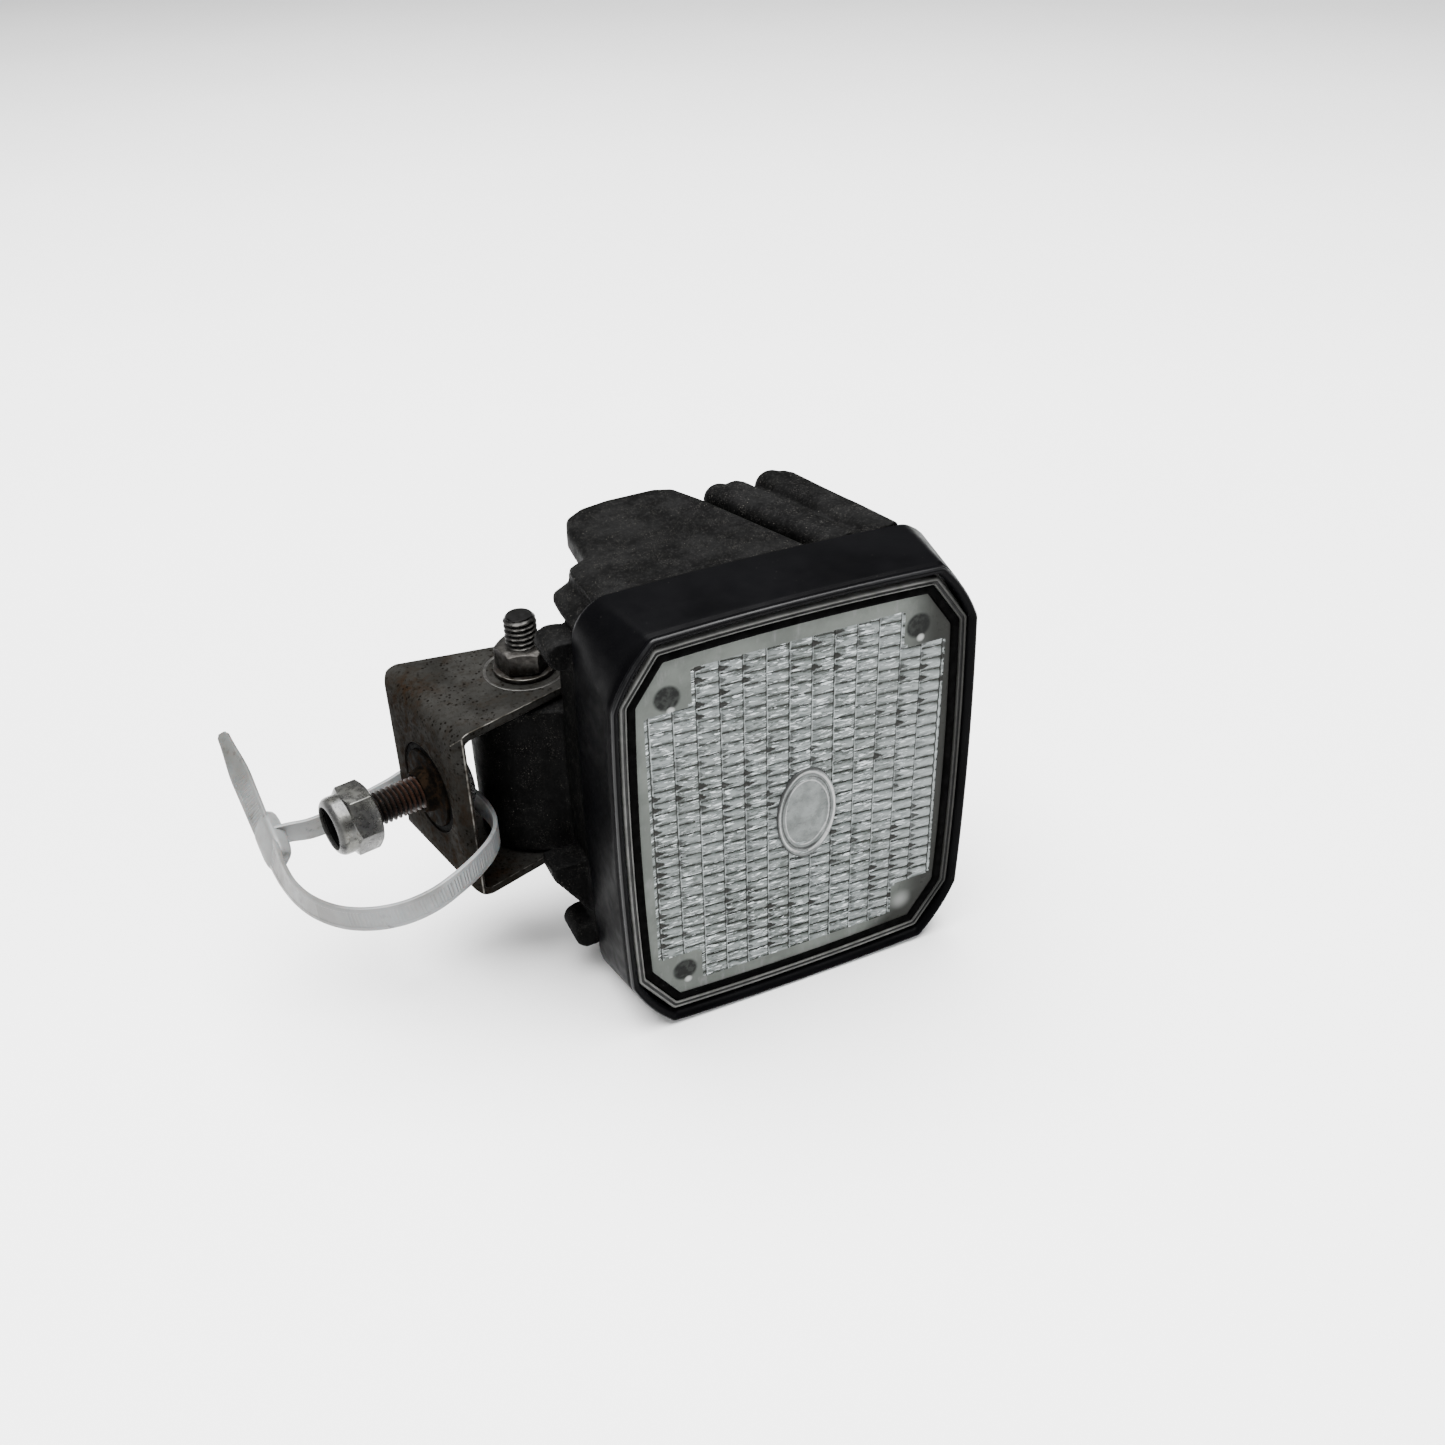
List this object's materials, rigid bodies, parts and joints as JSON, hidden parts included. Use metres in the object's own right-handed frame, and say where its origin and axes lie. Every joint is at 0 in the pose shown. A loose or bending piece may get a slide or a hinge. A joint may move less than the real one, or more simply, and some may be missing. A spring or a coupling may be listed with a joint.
{
  "type": "rectangular fog and work light on a swivel bracket",
  "caption": "Rectangular halogen lamp with a fluted glass lens and a deep chamfered bezel, on a U-shaped steel bracket with a rubber-mounted bolt and a tilt pivot.",
  "frame": {"origin": "on the axis of the mounting bolt, at the outer face of the hub it passes through", "axes": "-X along the mounting bolt, away from the bracket; +Z along the pivot between bracket and lamp, towards its nut; -Y towards the side the lamp shines to"},
  "size_m": [0.1853, 0.1513, 0.132],
  "materials": {
    "bracket_steel": "satin, worn, some rust round the grommet",
    "thread_steel": "rust-stained thread",
    "zinc": "bright zinc plate, scratched",
    "dull_zinc": "dull zinc plate, dirty",
    "seal_rubber": "matte",
    "nylon_dark": "matte",
    "nylon_white": "slightly dirty",
    "bezel_black": "satin moulded",
    "housing_black": "matte moulded, dusty",
    "frame_grey": "satin",
    "lens_glass": "pressed, fluted",
    "bulb_glass": "clear quartz",
    "mirror_metal": "vacuum-metallised",
    "screw_dark": "dark, flat",
    "tungsten": "bare",
    "bulb_metal": "satin",
    "spring_steel": "plated",
    "lead_insulation": "matte",
    "terminal": "moulded sleeve"
  },
  "bodies": {
    "mounting": {"mounting_bolt": "thread_steel", "head_washer": "dull_zinc"},
    "nut": {"mounting_nut": "zinc", "nut_insert": "nylon_dark"},
    "bracket": {"bracket": "bracket_steel", "web_grommet": "seal_rubber", "grommet_plate": "bracket_steel", "pivot_bolt": "dull_zinc", "pivot_nut": "dull_zinc", "pivot_washers": "dull_zinc", "friction_washers": "nylon_dark", "cable_tie_strap": "nylon_white", "cable_tie_head": "nylon_white"},
    "head": {"bezel": "bezel_black", "lens_frame": "frame_grey", "lens_gasket": "seal_rubber", "lens": "lens_glass", "housing_seal": "seal_rubber", "housing": "housing_black", "pivot_sleeve": "dull_zinc", "reflector": "mirror_metal", "corner_screws": "screw_dark", "bulb_glass": "bulb_glass", "bulb_filament": "tungsten", "bulb_base": "bulb_metal", "bulb_clip": "spring_steel", "bulb_lead": "lead_insulation", "lead_terminal": "terminal", "cable_gland": "seal_rubber", "breather_vent": "housing_black"},
    "cap": {"rear_cap": "housing_black", "rear_cap_seal": "seal_rubber"}
  },
  "joints": [
    {"name": "nut_off", "type": "slide", "parent": "mounting", "child": "nut", "axis": [-1, 0, 0], "range_m": [0, 0.05]},
    {"name": "bracket_swivel", "type": "hinge", "parent": "mounting", "child": "bracket", "pos_m": [0, 0, 0], "axis": [1, 0, 0], "continuous": true},
    {"name": "head_tilt", "type": "hinge", "parent": "bracket", "child": "head", "pos_m": [0.0372, -0.0025, 0], "axis": [0, 0, 1], "range_deg": [-15, 70]},
    {"name": "rear_cap_turn", "type": "hinge", "parent": "head", "child": "cap", "pos_m": [0.09626, -0.00023, 0.001], "axis": [0.2079, 0.9781, 0], "range_deg": [0, 30]}
  ]
}
